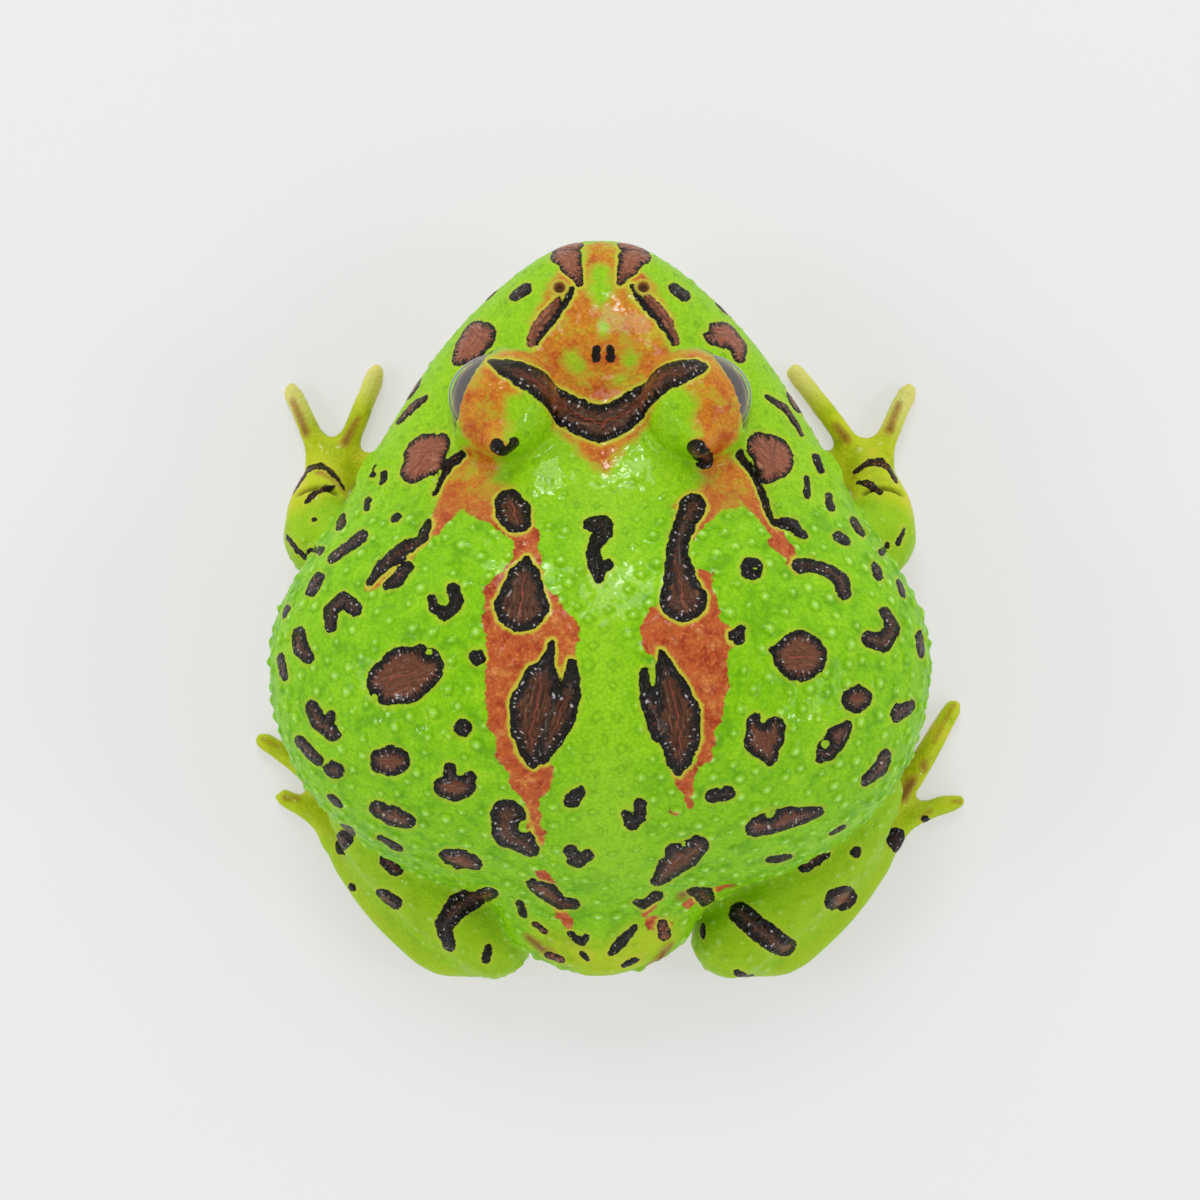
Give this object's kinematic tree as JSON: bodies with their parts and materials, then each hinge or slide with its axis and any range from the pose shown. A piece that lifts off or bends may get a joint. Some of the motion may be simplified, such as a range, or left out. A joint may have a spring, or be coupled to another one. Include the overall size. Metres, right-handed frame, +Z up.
{
  "type": "argentine horned frog model",
  "caption": "Life-size still model of a squat horned frog sitting with folded legs: wide mouth, raised eyes with soft horns, round body, splayed fingers and toes.",
  "frame": {"origin": "on the floor under the middle of the animal's box", "axes": "+Z up, -Y the way the frog faces, +X the frog's left"},
  "size_m": [0.0894, 0.091, 0.0412],
  "materials": {
    "back_skin": "moist, satin",
    "limb_skin": "moist, satin",
    "lid_skin": "moist, satin",
    "eyeball": "wet, glossy"
  },
  "bodies": {
    "root": {"head": "back_skin", "lower_jaw": "limb_skin", "left_eyelid": "lid_skin", "right_eyelid": "lid_skin", "left_eye": "eyeball", "right_eye": "eyeball", "torso": "back_skin", "left_upper_arm": "limb_skin", "left_forearm": "limb_skin", "left_hand": "limb_skin", "left_thigh": "back_skin", "left_shank": "back_skin", "left_foot": "limb_skin", "right_upper_arm": "limb_skin", "right_forearm": "limb_skin", "right_hand": "limb_skin", "right_thigh": "back_skin", "right_shank": "back_skin", "right_foot": "limb_skin"}
  },
  "joints": []
}
